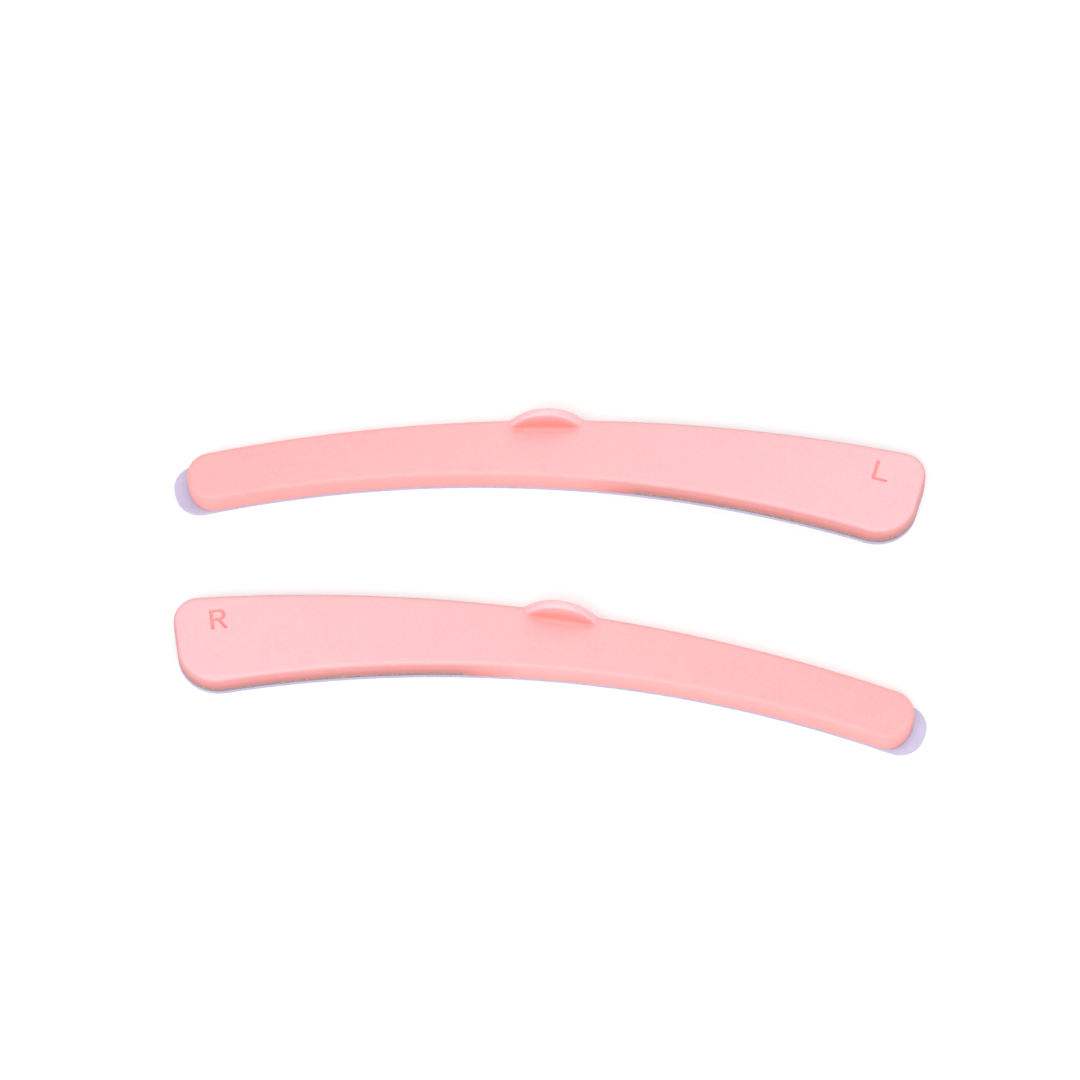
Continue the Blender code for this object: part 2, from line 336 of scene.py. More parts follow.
def closed_slab(top, bottom, rings):
    """Points and faces of a closed solid: a top grid, rings of wall points, and a bottom grid.

    Both grids are (rows, columns, 3) arrays, and each ring holds the rim's points at one height.
    """
    rows, columns = top.shape[:2]
    rim = rim_loop(rows, columns)
    points = [top.reshape(-1, 3), *rings, bottom.reshape(-1, 3)]
    loops = [rim]
    start = rows * columns
    for ring in rings:
        loops.append(np.arange(len(ring)) + start)
        start += len(ring)
    loops.append(rim + start)
    quads = [grid_quads(rows, columns, 0, False), grid_quads(rows, columns, start, True)]
    for upper, lower in zip(loops[:-1], loops[1:]):
        wall = [upper, np.roll(upper, -1), np.roll(lower, -1), lower]
        quads.append(np.stack(wall, axis=-1))
    return np.concatenate(points), np.concatenate(quads)


def raised(plan, heights):
    """Points in space from plan points and their heights."""
    return np.stack([plan.real, plan.imag, np.broadcast_to(heights, plan.shape)], axis=-1)


def grid_plan(shape, stations, across, inset, tab=0.0, firsts=(0.0, 0.0)):
    """Plan points at these shares across each section, with the outline moved in by inset.

    firsts are the shares of the outer and inner long edges at which the sections start.
    """
    outer = side_line(shape, +1, stations, inset, tab, firsts[0])
    inner = side_line(shape, -1, stations, inset, tab, firsts[1])
    return outer[:, None] + (inner - outer)[:, None] * across


OUTLINE_SHARES = np.linspace(0, 1, 65)


def strip_place(prefix, shape, layers, turn):
    """Plan place of a strip's frame: where its outline's box meets the CAD film's box."""
    side, _ = SIDES[prefix]
    shares = OUTLINE_SHARES
    lines = [
        side_line(shape, edge, (shares, shares, shares), layers.film_inset, layers.film_tab)
        for edge in (+1, -1)
    ]
    plan = np.concatenate(lines)
    plan = cmath.rect(1.0, turn) * (side * plan.real + 1j * plan.imag)
    low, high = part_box(f"{prefix}_release_film")
    middle = complex(plan.real.min() + plan.real.max(), plan.imag.min() + plan.imag.max()) / 2
    return complex(low.x + high.x, low.y + high.y) / 2 - middle


def add_piece(name, prefix, points, quads, marks):
    """Object of these points, mirrored for the right strip and set in its place, on its body."""
    scene = bpy.context.scene
    side, _ = SIDES[prefix]
    turn = scene.lash_stage.left_turn if side > 0 else scene.lash_stage.right_turn
    place = strip_place(prefix, scene.lash_strip, scene.lash_layers, turn)
    plan = place + cmath.rect(1.0, turn) * (side * points[:, 0] + 1j * points[:, 1])
    faces = quads if side > 0 else quads[:, ::-1]
    mesh = bpy.data.meshes.new(name)
    mesh.from_pydata(raised(plan, points[:, 2]), [], faces)
    for title, values in marks.items():
        layer = mesh.attributes.new(title, "FLOAT", "POINT")
        layer.data.foreach_set("value", np.asarray(values, np.float32))
    mesh.shade_smooth()
    if mesh.validate():
        raise RuntimeError(f"{name}: its mesh holds faces or edges that Blender had to repair")
    made = bpy.data.objects.new(name, mesh)
    scene.collection.objects.link(made)
    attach(made, f"{prefix}_strip")
    return made


# --- Silicone strip -----------------------------------------------------------------------------

# Sections: shares round the end corners, and spacings along the long edges.
TIP_SHARES = np.linspace(0, 1, 19)[:-1]
WIDE_SHARES = np.linspace(0, 1, 23)[1:]
BODY_SPACING = 0.26 * MM
LETTER_SPACING = 0.026 * MM
# Sections this many letter spacings apart no longer belong to the letter.
LETTER_BREAK = 1.5
FIN_ROWS = 61
# A section beyond the long edges counts as this far from the fin.
FAR_AWAY = 1.0

# Lines across a section, and how far along the strip one spacing takes to turn into another.
SECTION_LINES = 84
RIM_LINES = 8
FIN_BLEND = 2.6 * MM
LETTER_BLEND = 3.0 * MM
LETTER_MARGIN = 0.1 * MM
# Share of the wide corners' sections over which the lines leave the letter's spacing.
CORNER_BLEND = 0.8

# Fin: power of its arch, softness of its tails, the share of its height at which a section
# follows its profile in full, and points in a quarter circle and in a straight run.
ARCH_POWER = 2.4
TAIL_SOFTNESS = 0.14
FOLLOW_HEIGHT = 0.25
QUARTER_POINTS = 8
RUN_POINTS = 8

# A stroke's flat bottom and its whole width, as shares of the letter's stroke.
STROKE_BOTTOM = 0.45
STROKE_WHOLE = 1.15

# Walls: rings from the face down, as shares of the wall's height, and one ring in the lower
# rim, this share of its radius in from the wall and up from the underside.
WALL_HEIGHTS = (0.8, 0.55, 0.25, 0.0)
LOWER_RING = 0.3
# Length of the slope by which the underside steps up over the patch.
STEP_WIDTH = 0.12 * MM

# Painted shade on those rings, from the face down, growing darker towards the bottom, and at the
# face's own edge, where it starts this share of the way out over the rounding.
WALL_PAINTED_SHADE = (0.7, 0.82, 0.94, 1.0, 1.0)
EDGE_PAINTED_SHADE = 0.62
EDGE_SHADE_START = 0.4
# Painted highlight on the fin's rim: the share of the full height at which it is whole, and where
# the rim starts.
FIN_HIGHLIGHT_WHOLE = 0.25
RIM_HIGHLIGHT_START = 0.8
# Painted shade in the fin's foot: the height at which it is whole, its reach in fillet radii, and
# the shares of the profile's height between which it fades.
FOOT_SHADE_WHOLE = 0.6
FOOT_SHADE_REACH = 1.3
FOOT_SHADE_FADE = (0.25, 0.95)


def fin_run(fin):
    """Places along the fin and its height there: an arch whose ends run out flat.

    With p = 1 - |t|^n and t the share of the half length, the height follows
    (p + sqrt(p^2 + e^2)) / 2, set to 0 where the tails end and to the full height at the middle.
    """
    reach = 1 + 2 * fin.tail / fin.length
    share = np.linspace(-reach, reach, FIN_ROWS)
    arch = 1 - np.abs(share) ** ARCH_POWER
    rise = (arch + np.hypot(arch, TAIL_SOFTNESS)) / 2
    rise -= rise[0]
    return share * fin.length / 2, fin.height * rise / rise.max()


def fin_profile(fin):
    """Cross-section of the full fin: offset from the convex edge, and share of its height.

    Foot fillet, leaning wall, rounded rim, wall and foot fillet again, each a quarter circle
    or a straight run.
    """
    quarter = np.linspace(0, math.pi / 2, QUARTER_POINTS)
    straight = np.linspace(0, 1, RUN_POINTS)[1:-1]
    outer_foot = fin.edge_inset / 2
    outer = fin.edge_inset
    inner = outer + fin.thickness
    top = fin.height - fin.rim
    outer_quarter = quarter[::2]
    runs = [
        (
            outer - outer_foot * (1 - np.sin(outer_quarter)),
            outer_foot * (1 - np.cos(outer_quarter)),
        ),
        (outer + fin.draft * straight, outer_foot + (top - outer_foot) * straight),
        (outer + fin.draft + fin.rim * (1 - np.cos(quarter)), top + fin.rim * np.sin(quarter)),
        (inner - fin.draft - fin.rim * (1 - np.sin(quarter)), top + fin.rim * np.cos(quarter)),
        (inner - fin.draft * (1 - straight), top + (fin.foot - top) * straight),
        (inner + fin.foot * (1 - np.cos(quarter)), fin.foot * (1 - np.sin(quarter))),
    ]
    offsets = np.concatenate([across for across, _ in runs])
    heights = np.concatenate([up for _, up in runs])
    return offsets, heights / fin.height


def long_stations(shape, fin, letter):
    """Shares along the long edges, and how far each lies past the fin's middle.

    They are even, closer over the letter, and the fin's own places.
    """
    centre, radius = edge_circle(shape, +1)
    _, _, start, _ = corner(shape, +1, False, 0.0, 0.0)
    _, _, end, _ = corner(shape, +1, True, 0.0, 0.0)
    run = abs(cmath.phase((end - centre) / (start - centre))) * radius
    top = centre + 1j * cmath.rect(radius, math.asin((centre.real + fin.shift) / radius))
    middle = abs(cmath.phase((top - centre) / (start - centre))) * radius
    fin_places = fin_run(fin)[0] + middle
    letter_run = letter.from_end + letter.width / 2 + 2 * LETTER_MARGIN - shape.wide_outer
    letter_start = run - letter_run
    even = np.arange(0, letter_start, BODY_SPACING)
    before_fin = even < fin_places[0] - BODY_SPACING / 2
    past_fin = even > fin_places[-1] + BODY_SPACING / 2
    dense = np.arange(letter_start, run, LETTER_SPACING)
    places = np.sort(np.concatenate([even[before_fin | past_fin], fin_places, dense]))
    return places / run, places - middle


def between(low, high, count):
    """This many even lines between two others, which are left out."""
    return low + (high - low) * ((np.arange(count) + 1.0) / (count + 1))


def section_lines(shape, fin, letter, widths, fin_share, letter_share):
    """Offsets from the convex edge of every section's points, one row for each section.

    Three spacings share the same number of lines and are mixed along the strip: a plain one
    with close lines in both rims, the fin's own profile, and one that is close over the letter.
    """
    rows = len(widths)
    middle_lines = SECTION_LINES - 2 * RIM_LINES
    rim = np.minimum(shape.top_round, widths / 3)[:, None]
    outer_rim = rim * (1 - np.cos(np.linspace(0, math.pi / 2, RIM_LINES)))
    inner_rim = widths[:, None] - outer_rim[:, ::-1]
    rim_start = widths[:, None] - rim
    plain = np.hstack([outer_rim, between(rim, rim_start, middle_lines), inner_rim])

    offsets, _ = fin_profile(fin)
    rest = SECTION_LINES - RIM_LINES - 1 - len(offsets)
    past = between(offsets[-1], rim_start, rest)
    finned = np.hstack([np.zeros((rows, 1)), np.tile(offsets, (rows, 1)), past, inner_rim])

    half = letter.height / 2 + LETTER_MARGIN
    low = letter.from_edge - half
    high = letter.from_edge + half
    dense_lines = int((high - low) / LETTER_SPACING)
    before = (middle_lines - dense_lines) // 3
    after = middle_lines - dense_lines - before
    dense = np.tile(np.linspace(low, high, dense_lines), (rows, 1))
    first, last = between(rim, low, before), between(high, rim_start, after)
    lettered = np.hstack([outer_rim, first, dense, last, inner_rim])

    finned = plain + (finned - plain) * fin_share[:, None]
    return finned + (lettered - plain) * letter_share[:, None]


def letter_depth(letter, kind, local):
    """Depth of the sunk letter at plan points given about its middle, reading upright.

    Each stroke is a groove, whole near its centre line and gone by 3t^2 - 2t^3 at its edges.
    """
    right = (letter.width - letter.stroke) / 2
    top = (letter.height - letter.stroke) / 2
    stem = line_distance(local, complex(-right, -top), complex(-right, top))
    if kind == "L":
        foot = line_distance(local, complex(-right, -top), complex(right, -top))
        nearest = np.minimum(stem, foot)
    else:
        bowl = top / 2
        middle = complex(right - bowl, top - bowl)
        past = np.maximum(local.real - middle.real, 0) + 1j * (local.imag - middle.imag)
        ring = np.abs(np.abs(past) - bowl)
        ring = np.where(local.real > middle.real, ring, np.inf)
        high = line_distance(local, complex(-right, top), complex(middle.real, top))
        waist = top - 2 * bowl
        low = line_distance(local, complex(-right, waist), complex(middle.real, waist))
        leg = line_distance(local, complex(0.0, waist), complex(right, -top))
        nearest = np.minimum.reduce([stem, ring, high, low, leg])
    half = letter.stroke / 2
    return 1 - smooth(nearest, STROKE_BOTTOM * half, STROKE_WHOLE * half)


def line_distance(points, start, end):
    """Distance of points to a straight stroke from start to end."""
    run = end - start
    share = np.clip(((points - start) * run.conjugate()).real / abs(run) ** 2, 0.0, 1.0)
    return np.abs(points - start - share * run)


def patch_line(shape, layers):
    """Two points of the patch's slanted cut: below the inner edge, and on the outer edge."""
    centre, radius = edge_circle(shape, +1)
    reaches = np.array([layers.patch_inner, layers.patch_outer])
    across = shape.length / 2 - reaches - centre.real
    inner, outer = centre + across + 1j * np.sqrt(radius**2 - across**2)
    return inner - 1j * shape.wide_width, outer


def under_height(shape, layers, plan):
    """Height of the strip's underside: its floor, and the step over the adhesive patch."""
    inner, outer = patch_line(shape, layers)
    past = ((plan - inner) * np.conj(unit(outer - inner) * -1j)).real
    step = PATCH_TOP + layers.gap - STRIP_FLOOR
    return STRIP_FLOOR + step * smooth(past, -layers.gap - STEP_WIDTH, -layers.gap)


def fin_rows(fin, from_fin):
    """The fin's height at each section, and how closely the section follows its profile."""
    tip = np.full(len(TIP_SHARES), -FAR_AWAY)
    wide = np.full(len(WIDE_SHARES), FAR_AWAY)
    away = np.concatenate([tip, from_fin, wide])
    places, heights = fin_run(fin)
    rise = np.interp(away, places, heights, left=0.0, right=0.0)
    reach = places[-1]
    return rise, 1 - smooth(np.abs(away), reach, reach + FIN_BLEND)


def letter_rows(from_fin, run):
    """How closely each section's lines gather over the letter: in full from its first section.

    The letter's sections are the last ones along the edge that lie a letter spacing apart.
    """
    wider = np.diff(from_fin)[::-1] > LETTER_BREAK * LETTER_SPACING
    first = len(TIP_SHARES) + len(from_fin) - 1 - int(np.argmax(wider))
    gathered = smooth(run, run[first] - LETTER_BLEND, run[first])
    from_end = np.arange(len(run))[::-1]
    return gathered * smooth(from_end, 0.0, len(WIDE_SHARES) * CORNER_BLEND)


def letter_place(shape, letter, plan):
    """Plan points about the letter's middle, with X along the strip and Y across it."""
    _, (wide, wide_out) = end_frames(shape)
    spot = wide + outer_side(wide_out) * (shape.wide_width / 2 - letter.from_edge)
    return (plan - spot + wide_out * letter.from_end) * np.conj(wide_out)


def strip_mesh(shape, fin, letter, layers, side, kind):
    """The moulding as one closed surface, with its marks, which carry painted shade and highlight.

    Its face is z = top - r + sqrt(r^2 - (r - d)^2), with d the distance to the outline up to
    the rim radius r, plus a low crown. The fin adds its height times its section's share, and
    the letter takes its depth away.
    """
    face = FIN_TOP - fin.height
    along, from_fin = long_stations(shape, fin, letter)
    stations = (TIP_SHARES, along, WIDE_SHARES)
    outer = side_line(shape, +1, stations)
    inner = side_line(shape, -1, stations)
    widths = np.abs(inner - outer)
    run = np.cumsum(np.abs(np.diff(outer, prepend=outer[0])))
    rise, fin_share = fin_rows(fin, from_fin)
    lines = section_lines(shape, fin, letter, widths, fin_share, letter_rows(from_fin, run))
    plan = outer[:, None] + ((inner - outer) / widths)[:, None] * lines

    inward = edge_depth(shape, plan)
    depth = np.clip(inward, 0.0, shape.top_round)
    drop = shape.top_round - np.sqrt(shape.top_round**2 - (shape.top_round - depth) ** 2)
    middle = 1 - (2 * lines / widths[:, None] - 1) ** 2
    crown = shape.crown * smooth(inward, 0.0, shape.narrow_width / 3) * middle
    _, profile = fin_profile(fin)
    share = np.zeros(SECTION_LINES)
    share[1 : 1 + len(profile)] = profile
    follow = share * np.minimum(rise / fin.height / FOLLOW_HEIGHT, 1.0)[:, None]
    local = letter_place(shape, letter, plan)
    groove = letter_depth(letter, kind, side * local.real + 1j * local.imag)
    heights = face - drop * (1 - follow) + crown + rise[:, None] * share - letter.depth * groove

    rings, bottom = sides_and_floor(
        shape, layers, stations, lines / widths[:, None], face - shape.top_round
    )
    points, quads = closed_slab(raised(plan, heights), bottom, rings)

    rim = rim_loop(*plan.shape)
    # Painted shade over the face's rounding and down the walls, darker towards the bottom.
    edge = EDGE_PAINTED_SHADE * smooth(1 - depth / shape.top_round, EDGE_SHADE_START, 1.0) * (1 - follow)
    down = [np.full(len(rim), value) for value in WALL_PAINTED_SHADE]
    length = np.broadcast_to((run / run[-1])[:, None], plan.shape).reshape(-1)
    # Painted highlight along the fin's rim, whole where the fin stands tall enough.
    standing = smooth(rise, 0.0, FIN_HIGHLIGHT_WHOLE * fin.height)[:, None]
    below = np.zeros(len(points) - plan.size)
    # The wall, foot and fin marks carry painted shade on the walls, painted shade in the fin's foot
    # and a painted highlight on the fin's rim; the material also paints shade into the sunk letter.
    marks = {
        "wall": np.concatenate([edge.reshape(-1), *down, np.ones(plan.size)]),
        "length": np.concatenate([length, *[length[rim]] * len(rings), length]),
        "fin": np.append(smooth(share, RIM_HIGHLIGHT_START, 1.0) * standing, below),
        "foot": np.append(foot_shade_mask(fin, share, rise, lines), below),
        "sunk": np.append(groove, below),
    }
    return points, quads, marks


def foot_shade_mask(fin, share, rise, lines):
    """Painted shade in the corner between the fin's inner wall and the face: how deep a point lies
    in it.
    """
    inner = fin.edge_inset + fin.thickness
    standing = smooth(rise, 0.0, FOOT_SHADE_WHOLE * fin.height)[:, None]
    near = 1 - smooth(np.abs(lines - inner), 0.0, FOOT_SHADE_REACH * fin.foot)
    low = 1 - smooth(share, *FOOT_SHADE_FADE)
    on_inner_side = smooth(lines, inner - fin.thickness / 2, inner - fin.draft)
    return standing * near * low * on_inner_side


def sides_and_floor(shape, layers, stations, across, high):
    """The moulding's rings of wall points below this height, and its underside.

    across holds the shares of the width at which each section's points lie.
    """
    rim = rim_loop(*across.shape)
    wall = grid_plan(shape, stations, across, 0.0).reshape(-1)[rim]
    low = under_height(shape, layers, wall) + shape.under_round
    rings = [raised(wall, low + up * (high - low)) for up in WALL_HEIGHTS]
    inset = LOWER_RING * shape.under_round
    lower = grid_plan(shape, stations, across, inset).reshape(-1)[rim]
    rings.append(raised(lower, under_height(shape, layers, lower) + inset))
    floor = grid_plan(shape, stations, across, shape.under_round)
    return rings, raised(floor, under_height(shape, layers, floor))


# --- Layers -------------------------------------------------------------------------------------

LAYER_SHARES = np.linspace(0, 1, 90)
LAYER_LINES = np.linspace(0, 1, 9)


def layer_mesh(shape, layers, stations, low, high, inset, tab=0.0, firsts=(0.0, 0.0)):
    """A flat layer from low to high and its seat: both faces one radius in from its wall."""
    high += layers.seat
    rounding = layers.edge_round
    edge = grid_plan(shape, stations, LAYER_LINES, inset, tab, firsts)
    face = grid_plan(shape, stations, LAYER_LINES, inset + rounding, tab, firsts)
    rim = edge.reshape(-1)[rim_loop(*edge.shape)]
    rings = [raised(rim, high - rounding), raised(rim, low + rounding)]
    return closed_slab(raised(face, high), raised(face, low), rings)


def arc_share(shape, side, inset, line):
    """Share of a long edge, moved in by inset, at which this line crosses it."""
    centre, radius = edge_circle(shape, side)
    along = unit(line[1] - line[0])
    away = line[0] - centre
    middle = (away * along.conjugate()).real
    reach = radius - side * inset
    point = line[0] + along * (math.sqrt(middle**2 - abs(away) ** 2 + reach**2) - middle)
    _, _, start, _ = corner(shape, side, False, inset, 0.0)
    _, _, end, _ = corner(shape, side, True, inset, 0.0)
    turned = cmath.phase((point - centre) / (start - centre))
    return turned / cmath.phase((end - centre) / (start - centre))


# --- Finishes -----------------------------------------------------------------------------------

# Grain of each finish: its fine and slow noise scales, in waves to the metre, the depth of its
# bump, and its lowest and highest roughness.
GRAINS = {
    "pink_silicone_soft": (8000.0, 700.0, 0.006 * MM, (0.44, 0.54)),
    "film_painted_shadow": (9000.0, 900.0, 0.003 * MM, (0.22, 0.34)),
    "patch_painted_shadow": (14000.0, 900.0, 0.01 * MM, (0.6, 0.8)),
}
BUMP_STRENGTH = 0.5
FINE_DETAIL = 3.0
SLOW_DETAIL = 4.0
SLOW_ROUGHNESS = 0.65
# Noise values that count as the lowest and highest: of the mottle for roughness, of the grain
# for the silicone's tint, and of the grain for the patch's specks.
MOTTLE_RANGE = (0.3, 0.7)
TINT_RANGE = (0.35, 0.65)
SPECK_RANGE = (0.48, 0.62)
# The whole range of a mark or mask.
UNIT = (0.0, 1.0)

# Silicone: shares of the length over which its face gets paler and the painted shade on its wall
# darker, the fin mark over which the painted highlight on its rim gets paler, and how far the
# painted shade in a hollow and the painted highlight on the rim take their own colours.
PALER_RUN = (0.1, 1.0)
WIDE_WALL_SHADE_RUN = (0.53, 0.64)
RIM_HIGHLIGHT_RUN = (0.1, 0.7)
FOOT_SHADE_MIX = (0.0, 0.85)
SUNK_SHADE_MIX = (0.0, 0.8)
RIM_HIGHLIGHT_MIX = (0.0, 0.8)
# Tints of its slow mottle.
COOL_TINT = (0.97, 0.915, 0.935)
WARM_TINT = (0.99, 0.98, 0.955)
SILICONE_INPUTS = {
    "Specular IOR Level": 0.35,
    "Subsurface Weight": 0.25,
    "Subsurface Radius": (1.0, 0.35, 0.3),
    "Subsurface Scale": 0.5 * MM,
}

# Film: how much paler its mottle gets, and how much of what lies behind it is hidden.
FILM_PALER = 1.25
FILM_ALPHA = 0.65


def add_node(tree, kind, place, **values):
    """Node of this kind at this place in the tree, with these settings."""
    node = tree.nodes.new(kind)
    node.location = place
    for key, value in values.items():
        setattr(node, key, value)
    return node


def grain_group():
    """Moulded grain as a node group: a fine height and a slow mottle, on object coordinates."""
    group = bpy.data.node_groups.get("moulded_grain")
    if group:
        return group
    group = bpy.data.node_groups.new("moulded_grain", "ShaderNodeTree")
    for direction, titles in (
        ("INPUT", ("Fine Scale", "Slow Scale")),
        ("OUTPUT", ("Height", "Mottle")),
    ):
        for title in titles:
            group.interface.new_socket(title, in_out=direction, socket_type="NodeSocketFloat")
    inputs = add_node(group, "NodeGroupInput", (-600, 0))
    outputs = add_node(group, "NodeGroupOutput", (400, 0))
    place = add_node(group, "ShaderNodeTexCoord", (-600, -200))
    fine = add_node(group, "ShaderNodeTexNoise", (-200, 150))
    slow = add_node(group, "ShaderNodeTexNoise", (-200, -150))
    fine.inputs["Detail"].default_value = FINE_DETAIL
    slow.inputs["Detail"].default_value = SLOW_DETAIL
    slow.inputs["Roughness"].default_value = SLOW_ROUGHNESS
    link = group.links.new
    link(inputs.outputs["Fine Scale"], fine.inputs["Scale"])
    link(inputs.outputs["Slow Scale"], slow.inputs["Scale"])
    link(place.outputs["Object"], fine.inputs["Vector"])
    link(place.outputs["Object"], slow.inputs["Vector"])
    link(fine.outputs["Fac"], outputs.inputs["Height"])
    link(slow.outputs["Fac"], outputs.inputs["Mottle"])
    return group


def new_finish(name):
    """Material with a Principled shader, whose bump and roughness follow the shared grain."""
    fine, slow, depth, roughness = GRAINS[name]
    made = bpy.data.materials.new(name)
    made.use_nodes = True
    tree = made.node_tree
    shader = tree.nodes["Principled BSDF"]
    grain = add_node(tree, "ShaderNodeGroup", (-1200, -300), node_tree=grain_group())
    grain.inputs["Fine Scale"].default_value = fine
    grain.inputs["Slow Scale"].default_value = slow
    rough = ranged(tree, grain.outputs["Mottle"], MOTTLE_RANGE, roughness, (-650, -350))
    tree.links.new(rough, shader.inputs["Roughness"])
    bump = add_node(tree, "ShaderNodeBump", (-250, -500))
    bump.inputs["Distance"].default_value = depth
    bump.inputs["Strength"].default_value = BUMP_STRENGTH
    tree.links.new(grain.outputs["Height"], bump.inputs["Height"])
    tree.links.new(bump.outputs["Normal"], shader.inputs["Normal"])
    return made, tree, shader, grain


def mixed(tree, factor, first, second, place, blend="MIX"):
    """Colour mix of two sockets or plain colours, by a socket or a plain factor."""
    mix = add_node(tree, "ShaderNodeMix", place, data_type="RGBA", blend_type=blend)
    for socket, value in ((mix.inputs[0], factor), (mix.inputs[6], first), (mix.inputs[7], second)):
        if isinstance(value, bpy.types.NodeSocket):
            tree.links.new(value, socket)
        elif isinstance(value, float):
            socket.default_value = value
        else:
            socket.default_value = (*value, 1.0)
    return mix.outputs[2]


def mark(tree, name, place):
    """Value of one of the piece's marks."""
    return add_node(tree, "ShaderNodeAttribute", place, attribute_name=name).outputs["Fac"]


def ranged(tree, value, source, target, place, interpolation="LINEAR"):
    """The value carried from the source range to the target range, and held at their ends."""
    node = add_node(tree, "ShaderNodeMapRange", place, interpolation_type=interpolation)
    tree.links.new(value, node.inputs["Value"])
    sockets = ("From Min", "From Max", "To Min", "To Max")
    for socket, number in zip(sockets, (*source, *target)):
        node.inputs[socket].default_value = number
    return node.outputs["Result"]


def silicone_finish(colours):
    """Matt pink silicone: paler towards the wide end, with painted shade on walls and in hollows
    and a painted highlight along the fin's rim.
    """
    made, tree, shader, grain = new_finish("pink_silicone_soft")
    length = mark(tree, "length", (-1600, 500))
    toward_wide = ranged(tree, length, PALER_RUN, UNIT, (-1300, 500))
    # Painted shade on the walls, darker over the wide half, where a dark ground bounces less light.
    deep = ranged(tree, length, WIDE_WALL_SHADE_RUN, UNIT, (-1300, 300), "SMOOTHSTEP")
    face = mixed(tree, toward_wide, colours.tip, colours.wide, (-1000, 500))
    side = mixed(tree, deep, colours.wall, colours.wide_wall_painted_shade, (-1000, 250))
    # The wall mark lays that painted shade over the walls and the face's edge.
    body = mixed(tree, mark(tree, "wall", (-1600, 300)), face, side, (-750, 450))
    # Painted shade in the fin's foot.
    foot = ranged(tree, mark(tree, "foot", (-1600, 100)), UNIT, FOOT_SHADE_MIX, (-1300, 100))
    body = mixed(tree, foot, body, colours.foot, (-550, 400))
    # Painted shade in the letter's sunk strokes.
    sunk = ranged(tree, mark(tree, "sunk", (-1600, -100)), UNIT, SUNK_SHADE_MIX, (-1300, -100))
    body = mixed(tree, sunk, body, colours.foot, (-350, 350))
    # Painted highlight along the fin's rim.
    rim = ranged(tree, mark(tree, "fin", (-1600, -300)), RIM_HIGHLIGHT_RUN, RIM_HIGHLIGHT_MIX, (-1300, -500))
    body = mixed(tree, rim, body, colours.rim, (-300, 500))
    mottle = ranged(tree, grain.outputs["Mottle"], TINT_RANGE, UNIT, (-900, -200))
    tint = mixed(tree, mottle, COOL_TINT, WARM_TINT, (-650, -150))
    speck = ranged(tree, grain.outputs["Height"], TINT_RANGE, UNIT, (-900, -700))
    tint = mixed(tree, speck, tint, (1.0, 1.0, 1.0), (-450, -150))
    body = mixed(tree, 1.0, body, tint, (-180, 300), "MULTIPLY")
    tree.links.new(body, shader.inputs["Base Color"])
    for title, value in SILICONE_INPUTS.items():
        shader.inputs[title].default_value = value
    return made


def film_finish(colours):
    """Thin milky film whose cool lavender cast is painted shadow of the strip on the floor:
    see-through where nothing lies on it.
    """
    made, tree, shader, grain = new_finish("film_painted_shadow")
    pale = tuple(min(1.0, value * FILM_PALER) for value in colours.film)
    body = mixed(tree, grain.outputs["Mottle"], colours.film, pale, (-500, 300))
    tree.links.new(body, shader.inputs["Base Color"])
    shader.inputs["Alpha"].default_value = FILM_ALPHA
    return made


def patch_finish(colours):
    """Tacky layer with pale specks, whose grey-brown is painted shadow on a dark ground."""
    made, tree, shader, grain = new_finish("patch_painted_shadow")
    specks = ranged(tree, grain.outputs["Height"], SPECK_RANGE, UNIT, (-800, 300))
    body = mixed(tree, specks, colours.patch, colours.patch_speck, (-500, 300))
    tree.links.new(body, shader.inputs["Base Color"])
    return made


def finish_named(name, make):
    """The finish of this name, made the first time that it is asked for."""
    return bpy.data.materials.get(name) or make(bpy.context.scene.lash_finish)


# --- Operators ----------------------------------------------------------------------------------


class LASH_OT_silicone_strips(bpy.types.Operator):
    """Build both silicone mouldings with their fins and side letters"""

    bl_idname = "lash.silicone_strips"
    bl_label = "Silicone Strips"

    def execute(self, context):
        scene = context.scene
        for prefix, (side, kind) in SIDES.items():
            points, quads, marks = strip_mesh(
                scene.lash_strip, scene.lash_fin, scene.lash_letter, scene.lash_layers, side, kind
            )
            made = add_piece(f"{prefix}_strip_soft", prefix, points, quads, marks)
            made.data.materials.append(finish_named("pink_silicone_soft", silicone_finish))
            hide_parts(f"{prefix}_silicone_strip")
        return {"FINISHED"}


class LASH_OT_adhesive_patches(bpy.types.Operator):
    """Build the adhesive patch below each strip's wide half, tinted with painted shadow"""

    bl_idname = "lash.adhesive_patches"
    bl_label = "Adhesive Patches"

    def execute(self, context):
        scene = context.scene
        shape = scene.lash_strip
        layers = scene.lash_layers
        line = patch_line(shape, layers)
        inset = layers.patch_inset
        firsts = [arc_share(shape, side, inset, line) for side in (+1, -1)]
        stations = (np.empty(0), LAYER_SHARES, WIDE_SHARES)
        for prefix in SIDES:
            points, quads = layer_mesh(
                shape, layers, stations, STRIP_FLOOR, PATCH_TOP, inset, firsts=firsts
            )
            made = add_piece(f"{prefix}_patch_soft", prefix, points, quads, {})
            made.data.materials.append(finish_named("patch_painted_shadow", patch_finish))
            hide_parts(f"{prefix}_adhesive_patch")
        return {"FINISHED"}


class LASH_OT_release_films(bpy.types.Operator):
    """Build the clear release film below each strip, with its peel tab, tinted with painted shadow
    """

    bl_idname = "lash.release_films"
    bl_label = "Release Films"

    def execute(self, context):
        scene = context.scene
        shape = scene.lash_strip
        layers = scene.lash_layers
        stations = (TIP_SHARES, LAYER_SHARES, WIDE_SHARES)
        for prefix in SIDES:
            points, quads = layer_mesh(
                shape, layers, stations, 0.0, FILM_TOP, layers.film_inset, tab=layers.film_tab
            )
            made = add_piece(f"{prefix}_film_soft", prefix, points, quads, {})
            made.data.materials.append(finish_named("film_painted_shadow", film_finish))
            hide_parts(f"{prefix}_release_film")
        return {"FINISHED"}


# --- Stage --------------------------------------------------------------------------------------

